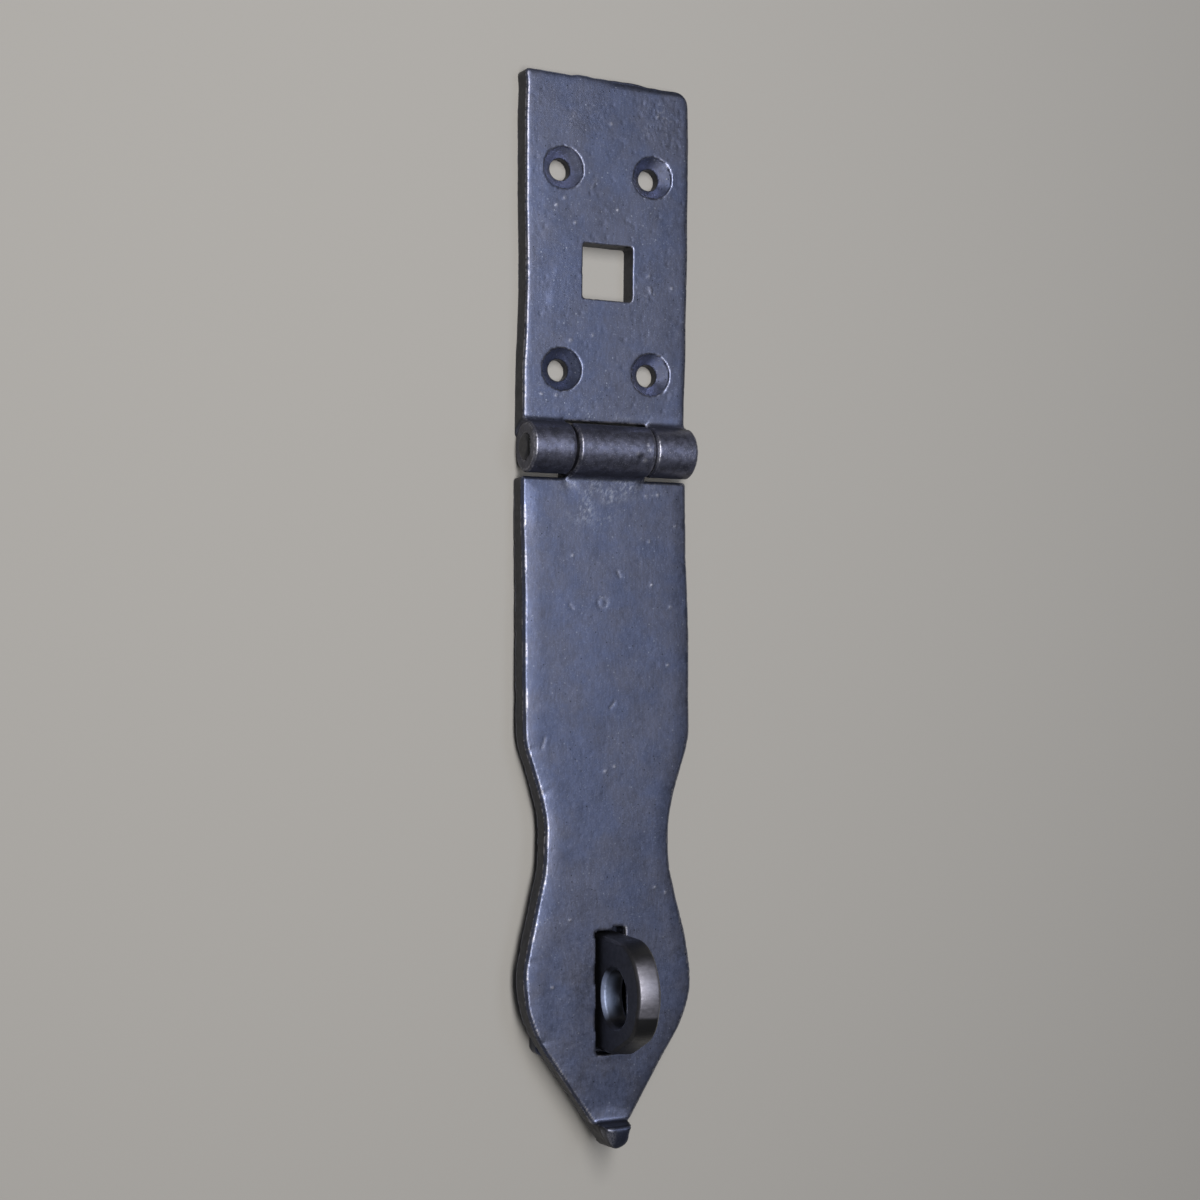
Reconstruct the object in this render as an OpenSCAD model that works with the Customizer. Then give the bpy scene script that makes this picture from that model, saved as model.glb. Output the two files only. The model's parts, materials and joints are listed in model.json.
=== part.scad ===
// Heavy hasp and staple: a screwed leaf, a riveted hinge and a shaped strap that closes over a staple.
// The origin is the centre of the leaf's four screw holes, on its back face. +Y points away from the hinge.

/* [Leaf] */
// Width of the leaf
leaf_w = 40; // [38:0.5:56]
// Length of the leaf from the hinge axis to its free end
leaf_l = 84; // [72:0.1:120]
// Thickness of the leaf
leaf_t = 5; // [4:0.1:6]
// Corner radius at the leaf's free end
leaf_corner_r = 1.2; // [0.5:0.1:5]
// Distance from the hinge axis to the centre of the leaf's screw holes
leaf_screws_d = 40.6; // [35:0.1:52]
// Spacing of the leaf's screw holes across its width
leaf_screws_x = 22.2; // [12:0.1:26]
// Spacing of the leaf's screw holes along its length
leaf_screws_y = 45.4; // [30:0.1:56]
// Side of the square hole for the neck of a coach bolt
bolt_square = 12.6; // [8.6:0.1:16.6]
// Corner radius of the square hole
bolt_square_r = 0.8; // [0.3:0.1:2]

/* [Screw holes] */
// Diameter of every screw hole
screw_d = 5; // [3.5:0.1:6]
// Diameter of every countersink at the surface
sink_d = 9.5; // [7:0.1:10.5]
// Depth of every countersink
sink_depth = 2.5; // [1.5:0.1:3.5]
// Height of the short straight wall at the top of every countersink
sink_wall = 0.3; // [0.1:0.1:1]

/* [Hinge] */
// Outer diameter of the hinge barrel
barrel_d = 11.5; // [10.6:0.1:14]
// How far the barrel stands out past the leaf at each side
barrel_proud = 0.35; // [0:0.05:1]
// Diameter of the hinge pin
pin_d = 6; // [4:0.1:7.5]
// Height of the rounded pin end that stands out of each side of the barrel
pin_end = 0.5; // [0.3:0.1:1]
// Radial clearance of the pin in the strap's knuckle
pin_clear = 0.05; // [0.02:0.01:0.1]
// Length of the strap's knuckle, in the middle of the barrel
knuckle_l = 19; // [12:0.5:26]
// Gap at each end of the strap's knuckle
knuckle_gap = 0.5; // [0.3:0.1:1]
// How far the strap has slid along the pin to one side
knuckle_slide = 0.25; // [0:0.05:0.25]
// Gap between the barrel and the edge of the plate that faces it
barrel_gap = 0.65; // [0.4:0.05:1.5]
// Radius that blends each knuckle into its own plate
root_r = 1.6; // [0.5:0.1:3]

/* [Strap] */
// How far the strap stands out past the leaf at each side
strap_proud = 0.3; // [0:0.1:2]
// Thickness of the strap
strap_t = 4.8; // [4:0.1:5.4]
// Distance from the hinge axis to the corner of the shoulders
shoulder_d = 65.4; // [50:0.1:72]
// Radius of the shoulders
shoulder_r = 16; // [4:1:24]
// Corner radius of the strap beside the hinge
strap_corner_r = 0.8; // [0.3:0.1:3]
// How far the corner of the waist lies inside the strap's side
waist_in = 6.5; // [4:0.1:9]
// Distance from the hinge axis to the corner of the waist
waist_d = 86.6; // [82:0.1:94]
// Radius of the waist
waist_r = 36; // [10:1:44]
// How far the corner of the bulb around the slot lies outside the strap's side
bulb_out = 1.7; // [0:0.1:4]
// Distance from the hinge axis to the corner of the bulb
bulb_d = 124; // [118:0.1:130]
// Radius of the bulb
bulb_r = 24; // [10:1:30]
// Clearance between the side of the staple's eye and the slot
slot_side = 1.1; // [0.5:0.1:2]
// Clearance between the staple's eye and the slot's end nearer the hinge
slot_near = 1.2; // [0.6:0.1:3]
// Clearance between the staple's eye and the slot's end nearer the tip
slot_far = 0.8; // [0.7:0.1:3]
// Corner radius of the slot
slot_corner_r = 0.8; // [0.3:0.1:2]

/* [Nose] */
// Distance from the hinge axis to the wall of the raised nose
nose_d = 150; // [144:0.1:160]
// Length of the nose beyond its wall
nose_l = 6.4; // [5.5:0.1:10]
// Height of the nose above the strap
nose_h = 5; // [2:0.1:5.5]
// Width of the nose where it meets the strap
nose_w = 10; // [8:0.1:12]
// Width of the nose at its top
nose_top_w = 6.4; // [4:0.1:7.5]
// How far the nose's wall leans back over its height
nose_lean = 0.8; // [0:0.1:1.5]
// How far the nose's top slopes down to its tip
nose_drop = 1.8; // [0:0.1:1.9]
// How far the tip lies further back at its top than at its foot
nose_slant = 0.5; // [0:0.1:2]
// Radius of the nose's tip at its foot
nose_r = 2; // [1.2:0.1:2.5]
// Radius of the nose's tip at its top
nose_top_r = 1.6; // [0.6:0.1:1.8]

/* [Staple] */
// Distance from the hinge axis to the middle of the staple
staple_d = 121.65; // [117:0.05:126]
// Width of the staple's plate
staple_w = 31; // [29:0.5:36]
// Length of the staple's plate along the strap
staple_l = 28.9; // [28.2:0.1:34]
// Thickness of the staple's plate
staple_t = 4; // [3:0.1:5]
// Corner radius of the staple's plate
staple_corner_r = 2; // [1:0.5:5]
// Spacing of the staple's screw holes across its width
staple_screws_x = 17.4; // [16.5:0.1:19]
// Spacing of the staple's screw holes along its length
staple_screws_y = 16; // [14:0.1:18]
// Gap between the closed strap and the staple's plate
rest_gap = 0.1; // [0.05:0.05:0.3]

/* [Eye] */
// Length of the staple's eye along the strap
eye_l = 26.2; // [22:0.1:28]
// Thickness of the eye
eye_t = 5.3; // [4:0.1:7]
// Height above the staple's back of the corner that is rounded into the eye's top
eye_h = 30.8; // [28.5:0.1:36]
// How far that corner lies from the eye's middle, towards the hinge
eye_top_in = 3.2; // [1:0.1:5]
// Radius of the eye's top
eye_top_r = 10.5; // [4:0.1:11]
// How far the eye's corner nearer the hinge lies below the top one
eye_near_drop = 5.4; // [2:0.1:8]
// Radius of the corner nearer the hinge
eye_near_r = 9.6; // [4:0.1:11]
// How far the eye's upper corner nearer the tip lies from its middle
eye_far_in = 6.8; // [5:0.1:9]
// How far the upper corner nearer the tip lies below the top one
eye_far_drop = 2.9; // [1:0.1:5]
// Radius of the upper corner nearer the tip
eye_far_r = 9; // [3:0.1:11]
// Height at which the leg nearer the tip starts to slant
eye_slant_z = 15.9; // [13:0.1:19]
// Radius where that leg starts to slant
eye_slant_r = 10; // [4:0.5:11]
// Size of the bevel along the eye's rim
eye_edge = 0.5; // [0.3:0.1:1]
// Diameter of the padlock hole
padlock_d = 12.5; // [8:0.5:14]
// Height of the padlock hole's centre above the back of the staple
padlock_z = 17.2; // [16.7:0.1:19]
// Size of the bevel around each mouth of the padlock hole
padlock_bevel = 0.7; // [0.3:0.1:1.5]

/* [Edges] */
// Size of the bevel along the upper edge of the leaf
leaf_edge = 0.35; // [0.2:0.05:1]
// Size of the bevel along the upper edges of the strap and of the staple's plate
edge = 0.6; // [0.3:0.1:1]
// Size of the bevel at each end of the knuckles
knuckle_edge = 0.5; // [0.2:0.1:1]

/* [Hidden] */
$fn = 64;
over = 1;
slice = 0.01;

axis_z = barrel_d / 2;
plate_d = barrel_d / 2 + barrel_gap;
barrel_l = leaf_w + 2 * barrel_proud;
outer_l = (barrel_l - knuckle_l) / 2 - knuckle_gap;
// The strap rests on the upper edge of the staple's plate, where its bevel ends.
closed_angle = atan((staple_t + rest_gap) / (staple_d - staple_l / 2 + edge));

strap_half = leaf_w / 2 + strap_proud;
slot_w = eye_t + 2 * slot_side;
slot_start = along_strap(staple_d - eye_l / 2) - slot_near;
slot_end = along_strap(staple_d + eye_l / 2) + slot_far;
// Distance along the tilted strap, at the middle of its thickness, of a point that far from the hinge axis.
function along_strap(d) = (d - (axis_z - strap_t / 2) * sin(closed_angle)) / cos(closed_angle);

// An outline lists corners as [across, along, radius], with the plate on its left. These are right halves.
LEAF = [
    [leaf_w / 2, 0, 0],
    [leaf_w / 2, leaf_l, leaf_corner_r],
    [-over, leaf_l, 0],
];
STRAP = [
    [-over, plate_d, 0],
    [strap_half, plate_d, strap_corner_r],
    [strap_half, shoulder_d, shoulder_r],
    [strap_half - waist_in, waist_d, waist_r],
    [strap_half + bulb_out, bulb_d, bulb_r],
    [nose_w / 2, nose_d, 0],
    [nose_w / 2 - over, nose_d + over, 0],
    [-over, nose_d + over, 0],
];
STAPLE = [
    [-over, -staple_l / 2, 0],
    [staple_w / 2, -staple_l / 2, staple_corner_r],
    [staple_w / 2, staple_l / 2, staple_corner_r],
    [-over, staple_l / 2, 0],
];
// The whole outline of the eye: corners as [towards the hinge, up, radius], each of them rounded.
EYE = [
    [eye_l / 2, 0, 0],
    [eye_l / 2, eye_h - eye_near_drop, eye_near_r],
    [eye_top_in, eye_h, eye_top_r],
    [-eye_far_in, eye_h - eye_far_drop, eye_far_r],
    [-eye_l / 2, eye_slant_z, eye_slant_r],
    [-eye_l / 2, 0, 0],
];

function corner(o, i) = [o[i][0], o[i][1]];
function step(o, i) = corner(o, i + 1) - corner(o, i);
function heading(o, i) = atan2(step(o, i)[1], step(o, i)[0]);
// The turn at a corner, from -180 to 180 degrees, anticlockwise positive.
function turn(o, i) = (heading(o, i) - heading(o, i - 1) + 540) % 360 - 180;
function side(o, i) = turn(o, i) > 0 ? 1 : -1;
// A round uses at most half of each straight beside its corner.
function longest_r(o, i) = 0.5 * min(norm(step(o, i)), norm(step(o, i - 1))) / tan(abs(turn(o, i)) / 2);
function round_r(o, i) = min(o[i][2], longest_r(o, i));
function is_round(o, i) = i > 0 && i < len(o) - 1 && o[i][2] > 0;
function reach(o, i) = is_round(o, i) ? round_r(o, i) * tan(abs(turn(o, i)) / 2) : 0;
function along(a) = [cos(a), sin(a)];
function round_start(o, i) = corner(o, i) - reach(o, i) * along(heading(o, i - 1));
function round_end(o, i) = corner(o, i) + reach(o, i) * along(heading(o, i));
function centre(o, i) = round_start(o, i) + side(o, i) * round_r(o, i) * along(heading(o, i - 1) + 90);
function rounds(o, way) = [for (i = [1 : len(o) - 2]) if (is_round(o, i) && side(o, i) == way) i];

// The slice of a corner's round between its two ends, out from its centre.
module round_slice(o, i) {
    c = centre(o, i);
    intersection() {
        translate(c) circle(r = round_r(o, i), $fn = 180);
        polygon([c, c + 2 * (round_start(o, i) - c), c + 2 * (round_end(o, i) - c)]);
    }
}

module plan(o) {
    last = len(o) - 1;
    chain = [for (i = [1 : last - 1])
        each is_round(o, i) ? [round_start(o, i), round_end(o, i)] : [corner(o, i)]];
    difference() {
        union() {
            polygon(concat([[-over, corner(o, 0)[1]], corner(o, 0)], chain, [corner(o, last)]));
            for (i = rounds(o, 1)) round_slice(o, i);
        }
        for (i = rounds(o, -1)) round_slice(o, i);
    }
}

// What a bevel of size c takes off an upper edge: the edge is at [0, 0], the plate towards -X and down.
module bevel_section(c) {
    polygon([[-c - over, over], [over, over], [over, -c - over]]);
}

// What a bevel of size c takes off along an outline, at height t.
module bevel(o, t, c) {
    last = len(o) - 1;
    for (i = [0 : last - 1]) {
        a = i == 0 ? corner(o, 0) : round_end(o, i);
        b = i == last - 1 ? corner(o, last) : round_start(o, i + 1);
        translate([a[0], a[1], t]) rotate([0, 0, heading(o, i)]) rotate([90, 0, 90])
            linear_extrude(norm(b - a)) mirror([1, 0]) bevel_section(c);
    }
    for (i = concat(rounds(o, 1), rounds(o, -1))) {
        m = centre(o, i);
        first = heading(o, i - 1) - side(o, i) * 90 + min(turn(o, i), 0);
        translate([m[0], m[1], t]) rotate([0, 0, first]) rotate_extrude(angle = abs(turn(o, i)), $fn = 180)
            intersection() {
                translate([round_r(o, i), 0]) mirror([side(o, i) > 0 ? 0 : 1, 0]) bevel_section(c);
                translate([0, -2 * over]) square([round_r(o, i) + 3 * over, 4 * over]);
            }
    }
}

// A flat plate with both halves of an outline and a bevel of size c round its upper edge.
module plate(o, t, c) {
    difference() {
        linear_extrude(t) for (s = [0, 1]) mirror([s, 0]) plan(o);
        for (s = [0, 1]) mirror([s, 0, 0]) bevel(o, t, c);
    }
}

module rounded_rectangle(w, l, r) {
    square([w - 2 * r, l], center = true);
    square([w, l - 2 * r], center = true);
    for (x = [-1, 1], y = [-1, 1]) translate([x * (w / 2 - r), y * (l / 2 - r)]) circle(r = r);
}

module screw_hole(t) {
    translate([0, 0, -over]) cylinder(d = screw_d, h = t + 2 * over);
    translate([0, 0, t - sink_depth]) cylinder(d1 = screw_d, d2 = sink_d, h = sink_depth - sink_wall);
    translate([0, 0, t - sink_wall]) cylinder(d = sink_d, h = sink_wall + over);
}

module screw_pattern(dx, dy, t) {
    for (x = [-1, 1], y = [-1, 1]) translate([x * dx / 2, y * dy / 2, 0]) screw_hole(t);
}

// A bar along +X, with a bevel of size c at both ends.
module bevelled_bar(r, l, c) {
    rotate([90, 0, 90]) rotate_extrude()
        polygon([[0, 0], [r - c, 0], [r, c], [r, l - c], [r - c, l], [0, l]]);
}

// One knuckle of the barrel from x, blended into the plate of thickness t that lies on its +Y side.
module knuckle(x, l, t) {
    r = barrel_d / 2;
    straight = l - 2 * knuckle_edge;
    blend = [sqrt(pow(r + root_r, 2) - pow(t + root_r - axis_z, 2)), t + root_r];
    translate([x, 0, 0]) {
        translate([0, 0, axis_z]) bevelled_bar(r, l, knuckle_edge);
        translate([knuckle_edge, 0, 0]) rotate([90, 0, 90]) linear_extrude(straight) difference() {
            polygon([[0, axis_z], blend, [blend[0], t - over], [0, t - over]]);
            translate(blend) circle(r = root_r);
        }
    }
}

module pin_hole(r) {
    translate([-barrel_l / 2 - over, 0, axis_z]) rotate([0, 90, 0]) cylinder(r = r, h = barrel_l + 2 * over);
}

// Moves what is drawn around the hinge axis, at y = 0, to its place.
module at_hinge() {
    translate([0, -leaf_screws_d, 0]) children();
}

module fixed_leaf() {
    gap_w = knuckle_l + 2 * knuckle_gap;
    color("#3d4150") difference() {
        at_hinge() {
            difference() {
                plate(LEAF, leaf_t, leaf_edge);
                translate([-gap_w / 2, -over, -over]) cube([gap_w, plate_d + over, leaf_t + 2 * over]);
            }
            knuckle(-barrel_l / 2, outer_l, leaf_t);
            knuckle(barrel_l / 2 - outer_l, outer_l, leaf_t);
        }
        at_hinge() pin_hole(pin_d / 2);
        screw_pattern(leaf_screws_x, leaf_screws_y, leaf_t);
        translate([0, 0, -over]) linear_extrude(leaf_t + 2 * over)
            rounded_rectangle(bolt_square, bolt_square, bolt_square_r);
    }
}

module hinge_pin() {
    l = barrel_l + 2 * pin_end;
    color("#55586a") at_hinge() translate([-l / 2, 0, axis_z]) bevelled_bar(pin_d / 2, l, pin_end);
}

// The nose rises from the strap's end. Its wall leans back, and it narrows and slopes down towards its tip.
module nose() {
    top = strap_t + nose_h;
    hull() {
        linear_extrude(slice) {
            translate([-nose_w / 2, nose_d]) square([nose_w, slice]);
            translate([0, nose_d + nose_l - nose_r]) circle(r = nose_r, $fn = 32);
        }
        translate([-nose_top_w / 2, nose_d + nose_lean, top - slice]) cube([nose_top_w, slice, slice]);
        translate([0, nose_d + nose_l - nose_slant - nose_top_r, top - nose_drop - slice])
            cylinder(r = nose_top_r, h = slice, $fn = 32);
    }
}

// The strap as it lies flat, its back on z = 0 and its length along +Y from the hinge axis.
module flat_strap() {
    difference() {
        union() {
            plate(STRAP, strap_t, edge);
            translate([-knuckle_l / 2, 0, 0]) cube([knuckle_l, plate_d + over + edge, strap_t]);
            knuckle(-knuckle_l / 2, knuckle_l, strap_t);
            nose();
        }
        pin_hole(pin_d / 2 + pin_clear);
        translate([0, (slot_start + slot_end) / 2, -over]) linear_extrude(strap_t + 2 * over)
            rounded_rectangle(slot_w, slot_end - slot_start, slot_corner_r);
    }
}

module hasp_strap() {
    color("#3a3e4e") at_hinge() translate([knuckle_slide, 0, axis_z]) rotate([-closed_angle, 0, 0])
        translate([0, 0, -axis_z]) mirror([0, 1, 0]) flat_strap();
}

// The eye: one bevelled disc in each round of its outline, and its two legs down into the plate.
module eye() {
    difference() {
        hull() {
            for (i = rounds(EYE, 1)) translate([-eye_t / 2, centre(EYE, i)[0], centre(EYE, i)[1]])
                bevelled_bar(round_r(EYE, i), eye_t, eye_edge);
            translate([eye_edge - eye_t / 2, -eye_l / 2, staple_t / 2])
                cube([eye_t - 2 * eye_edge, eye_l, slice]);
            translate([-eye_t / 2, eye_edge - eye_l / 2, staple_t / 2])
                cube([eye_t, eye_l - 2 * eye_edge, slice]);
        }
        translate([0, 0, padlock_z]) rotate([0, 90, 0]) {
            $fn = 96;
            mouth = padlock_bevel + over;
            cylinder(d = padlock_d, h = eye_t + 2 * over, center = true);
            for (s = [0, 1]) mirror([0, 0, s]) translate([0, 0, eye_t / 2 - padlock_bevel])
                cylinder(d1 = padlock_d, d2 = padlock_d + 2 * mouth, h = mouth);
        }
    }
}

module staple() {
    color("#40424e") translate([0, -leaf_screws_d - staple_d, 0]) {
        difference() {
            plate(STAPLE, staple_t, edge);
            screw_pattern(staple_screws_x, staple_screws_y, staple_t);
        }
        eye();
    }
}

fixed_leaf();
hinge_pin();
hasp_strap();
staple();
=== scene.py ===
# Looks of the hasp: blackened and waxed iron, pitted and worn bright at its edges, on a pale floor.
import itertools
import json
import math

import bmesh
import bpy
import numpy as np
from mathutils import Matrix, Vector
from mathutils.bvhtree import BVHTree
from mathutils.kdtree import KDTree


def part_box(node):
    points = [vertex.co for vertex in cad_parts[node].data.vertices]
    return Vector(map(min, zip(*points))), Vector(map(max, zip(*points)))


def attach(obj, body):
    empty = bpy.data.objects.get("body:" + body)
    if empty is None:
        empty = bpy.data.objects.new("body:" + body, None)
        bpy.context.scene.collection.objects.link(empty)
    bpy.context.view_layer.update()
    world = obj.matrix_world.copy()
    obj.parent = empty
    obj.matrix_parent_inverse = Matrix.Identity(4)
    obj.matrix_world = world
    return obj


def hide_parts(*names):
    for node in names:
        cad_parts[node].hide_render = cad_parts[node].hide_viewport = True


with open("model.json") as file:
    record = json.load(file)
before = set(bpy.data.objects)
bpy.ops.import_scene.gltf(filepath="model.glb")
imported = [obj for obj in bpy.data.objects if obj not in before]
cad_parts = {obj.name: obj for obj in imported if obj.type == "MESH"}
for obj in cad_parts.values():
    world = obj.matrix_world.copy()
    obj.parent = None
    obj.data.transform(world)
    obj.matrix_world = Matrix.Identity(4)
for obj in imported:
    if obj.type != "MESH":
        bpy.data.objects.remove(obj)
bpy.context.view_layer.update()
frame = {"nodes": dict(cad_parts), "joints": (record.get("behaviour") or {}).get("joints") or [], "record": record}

MM = 0.001
AXIS = Vector(frame["joints"][0]["pos_m"])
AXIS_UP = AXIS.z / MM
EYE = next(m for m in frame["record"]["mounts"] if m["name"] == "padlock_eye")

# The camera that took the photograph: its lens and the width of its sensor in millimetres,
# its place, what it aims at and its roll.
CAMERA_LENS = 58.08
CAMERA_SENSOR = 36
CAMERA_AT = Vector((-0.1869, -0.0802, 0.4020))
CAMERA_AIM = Vector((0.0011, -0.0744, 0))
CAMERA_ROLL = math.radians(0.54)

# A long soft panel overhead, a little to the left, so that edges that lean to the left shine,
# and a dim bluish one to the right, which the plates mirror.
# Place, width, length, radiance and tint of each.
LAMPS = {"panel": (Vector((-0.12, 0.08, 0.7)), 0.16, 0.75, 12.6, (1, 0.985, 0.97)),
         "sky": (Vector((0.205, 0.045, 0.7)), 0.23, 0.47, 1.25, (0.82, 0.92, 1.12))}
WORLD_TINT = (0.96, 0.98, 1)
WORLD_RADIANCE = 0.05

# The floor: half its width, between what distances it gets paler, and its near and far colours.
FLOOR_HALF = 3.0
FLOOR_FADE = (0.3, 1.0)
FLOOR_NEAR = (0.47, 0.455, 0.43)
FLOOR_FAR = (0.93, 0.90, 0.86)

# How large the quads of each piece are, how close corners are welded, and from what angle on
# an edge counts as sharp.
LEAF_QUAD = 0.34 * MM
STRAP_QUAD = 0.39 * MM
SMALL_QUAD = 0.24 * MM
WELD = 1e-7
SHARP_ANGLE = math.radians(30)

# What share of the way to their neighbours' mean the places on sharp edges are moved, on the
# plates and on the small pieces, and all others.
PLATE_EDGE_GIVE = 0.08
SMALL_EDGE_GIVE = 0.2
GIVE = 0.5

# Colours of the iron, by what is seen there.
IRON_BLUE = (0.122, 0.142, 0.230)
SPARKLE = (0.40, 0.43, 0.54)
DARK_SPECK = (0.03, 0.035, 0.05)
GLITTER = (0.50, 0.53, 0.62)
CREST_DARK = (0.12, 0.125, 0.175)
CREST_PALE = (0.22, 0.23, 0.33)
CREST_SPARKLE = (0.55, 0.55, 0.66)
SCUFFED = (0.44, 0.46, 0.54)
POLISH_AND_GLINT = (0.62, 0.62, 0.70)
BARE_RIM = (0.55, 0.54, 0.60)
SOOT_AND_SHADE = (0.025, 0.025, 0.028)
STAPLE_BLACK = (0.06, 0.06, 0.065)
PIN_BLACK = (0.05, 0.052, 0.055)
SMALL_SIDE = (0.035, 0.036, 0.045)
SMALL_RIM = (0.30, 0.29, 0.34)
GROUND = (0.26, 0.255, 0.30)
PAINTED_BORE_LIGHT = (0.30, 0.36, 0.52)
PAINTED_MOUTH_GLINT = (0.50, 0.58, 0.82)


# Nodes of the materials

def feed(tree, socket, value):
    """Links the socket to the value where that is a socket too, and else sets it."""
    if isinstance(value, bpy.types.NodeSocket):
        tree.links.new(value, socket)
    else:
        socket.default_value = value


def add(tree, kind, settings=(), **inputs):
    """Adds a node, sets its properties, and feeds its inputs, given by name or as i and a number."""
    node = tree.nodes.new(kind)
    for name, value in dict(settings).items():
        setattr(node, name, value)
    for name, value in inputs.items():
        key = int(name[1:]) if name[1:].isdigit() else name.replace("_", " ")
        feed(tree, node.inputs[key], value)
    return node


def math_node(tree, operation, a, b, c=0.0):
    return add(tree, "ShaderNodeMath", {"operation": operation}, i0=a, i1=b, i2=c).outputs[0]


def times(tree, a, b):
    return math_node(tree, "MULTIPLY", a, b)


def scaled(tree, vector, factors):
    settings = {"operation": "MULTIPLY"}
    return add(tree, "ShaderNodeVectorMath", settings, i0=vector, i1=factors).outputs[0]


def attribute(tree, name):
    return add(tree, "ShaderNodeAttribute", {"attribute_name": name}).outputs["Fac"]


def ramp(tree, value, low, high):
    """From 0 at low to 1 at high, smoothly."""
    node = add(tree, "ShaderNodeMapRange", {"interpolation_type": "SMOOTHSTEP"}, Value=value)
    node.inputs["From Min"].default_value = low
    node.inputs["From Max"].default_value = high
    return node.outputs[0]


def blend(tree, share, a, b):
    """The colour a, or b where the share is 1."""
    node = add(tree, "ShaderNodeMix", {"data_type": "RGBA"}, i0=share)
    for socket, colour in ((node.inputs[6], a), (node.inputs[7], b)):
        feed(tree, socket, (*colour, 1) if isinstance(colour, tuple) else colour)
    return node.outputs[2]


def grain(tree, place, size, detail=3.0, roughness=0.6):
    """Noise from about 0.3 to 0.7 with features of that size in millimetres."""
    node = add(tree, "ShaderNodeTexNoise", {}, Vector=place, Scale=1 / size, Detail=detail)
    node.inputs["Roughness"].default_value = roughness
    return node.outputs[0]


def specks(tree, place, size, radius, share):
    """Scattered round dots of that radius, one in some of the cells of that size."""
    cells = add(tree, "ShaderNodeTexVoronoi", {}, Vector=place, Scale=1 / size)
    dot = ramp(tree, cells.outputs["Distance"], radius / size, 0.4 * radius / size)
    chosen = add(tree, "ShaderNodeSeparateColor", {}, Color=cells.outputs["Color"]).outputs[0]
    return times(tree, dot, math_node(tree, "GREATER_THAN", chosen, 1 - share))


# Camera, floor, lamps and world

def make_camera():
    """Puts the camera where the photograph was taken from."""
    forward = (CAMERA_AIM - CAMERA_AT).normalized()
    right = forward.cross(Vector((0, 1, 0))).normalized()
    rolled = Matrix.Rotation(-CAMERA_ROLL, 3, forward) @ right
    up = rolled.cross(forward)
    data = bpy.data.cameras.new("camera")
    data.lens = CAMERA_LENS
    data.sensor_width = CAMERA_SENSOR
    camera = bpy.data.objects.new("camera", data)
    turn = Matrix((rolled, up, -forward)).transposed().to_4x4()
    camera.matrix_world = Matrix.Translation(CAMERA_AT) @ turn
    bpy.context.scene.collection.objects.link(camera)
    bpy.context.scene.camera = camera


def make_floor():
    """A wide pale floor under the back of the plates, paler far away, where less light falls."""
    mesh = bpy.data.meshes.new("floor")
    half = FLOOR_HALF
    corners = [(-half, -half, 0), (half, -half, 0), (half, half, 0), (-half, half, 0)]
    mesh.from_pydata(corners, [], [(0, 1, 2, 3)])
    floor = bpy.data.objects.new("floor", mesh)
    bpy.context.scene.collection.objects.link(floor)
    material = bpy.data.materials.new("pale_floor")
    material.use_nodes = True
    tree = material.node_tree
    shader = tree.nodes["Principled BSDF"]
    place = add(tree, "ShaderNodeTexCoord").outputs["Object"]
    away = add(tree, "ShaderNodeVectorMath", {"operation": "LENGTH"}, i0=place).outputs["Value"]
    colour = blend(tree, ramp(tree, away, *FLOOR_FADE), FLOOR_NEAR, FLOOR_FAR)
    tree.links.new(colour, shader.inputs["Base Color"])
    shader.inputs["Roughness"].default_value = 0.9
    shader.inputs["Specular IOR Level"].default_value = 0.2
    mesh.materials.append(material)


def make_light():
    """The panels overhead and a dim world."""
    for name, (place, width, length, radiance, tint) in LAMPS.items():
        data = bpy.data.lights.new(name, "AREA")
        data.shape = "RECTANGLE"
        data.size = width
        data.size_y = length
        data.energy = math.pi * width * length * radiance
        data.color = tint
        lamp = bpy.data.objects.new(name, data)
        lamp.location = place
        lamp.visible_camera = False
        bpy.context.scene.collection.objects.link(lamp)
    world = bpy.data.worlds.new("world")
    world.use_nodes = True
    background = world.node_tree.nodes["Background"]
    background.inputs["Color"].default_value = (*WORLD_TINT, 1)
    background.inputs["Strength"].default_value = WORLD_RADIANCE
    bpy.context.scene.world = world
    bpy.context.scene.view_settings.view_transform = "Standard"


# Meshes as arrays

def vertex_values(mesh, name):
    out = np.empty(len(mesh.vertices) * 3)
    mesh.vertices.foreach_get(name, out)
    return out.reshape(-1, 3)


def put_places(mesh, co):
    mesh.vertices.foreach_set("co", co.astype(np.float32).ravel())
    mesh.update()


def edge_ends(mesh):
    ends = np.empty(len(mesh.edges) * 2, int)
    mesh.edges.foreach_get("vertices", ends)
    return ends.reshape(-1, 2)


def neighbour_mean(values, ends):
    """For each vertex, the mean of the values of the vertices that share an edge with it."""
    size = len(values)
    count = np.maximum(np.bincount(ends.ravel(), minlength=size), 1)
    a, b = ends.T
    sums = [np.bincount(a, column[b], size) + np.bincount(b, column[a], size)
            for column in values.reshape(size, -1).T]
    return (np.array(sums) / count).T.reshape(values.shape)


def relaxed(values, ends, rounds, share):
    """The values after each has moved towards its neighbours' mean, as often as asked."""
    for _ in range(rounds):
        values = values + share * (neighbour_mean(values, ends) - values)
    return values


def store(mesh, name, values):
    """Keeps one number per vertex for the material to read."""
    kept = mesh.attributes.new(name, "FLOAT", "POINT")
    kept.data.foreach_set("value", np.clip(values, 0, 1).astype(np.float32))


# Fields over places: how much of something each place has

def smoothstep(low, high, x):
    t = np.clip((x - low) / (high - low), 0, 1)
    return t * t * (3 - 2 * t)


def bell(x, middle, width):
    """1 at the middle, and falling off smoothly on both sides."""
    return np.exp(-((x - middle) / width) ** 2)


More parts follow.
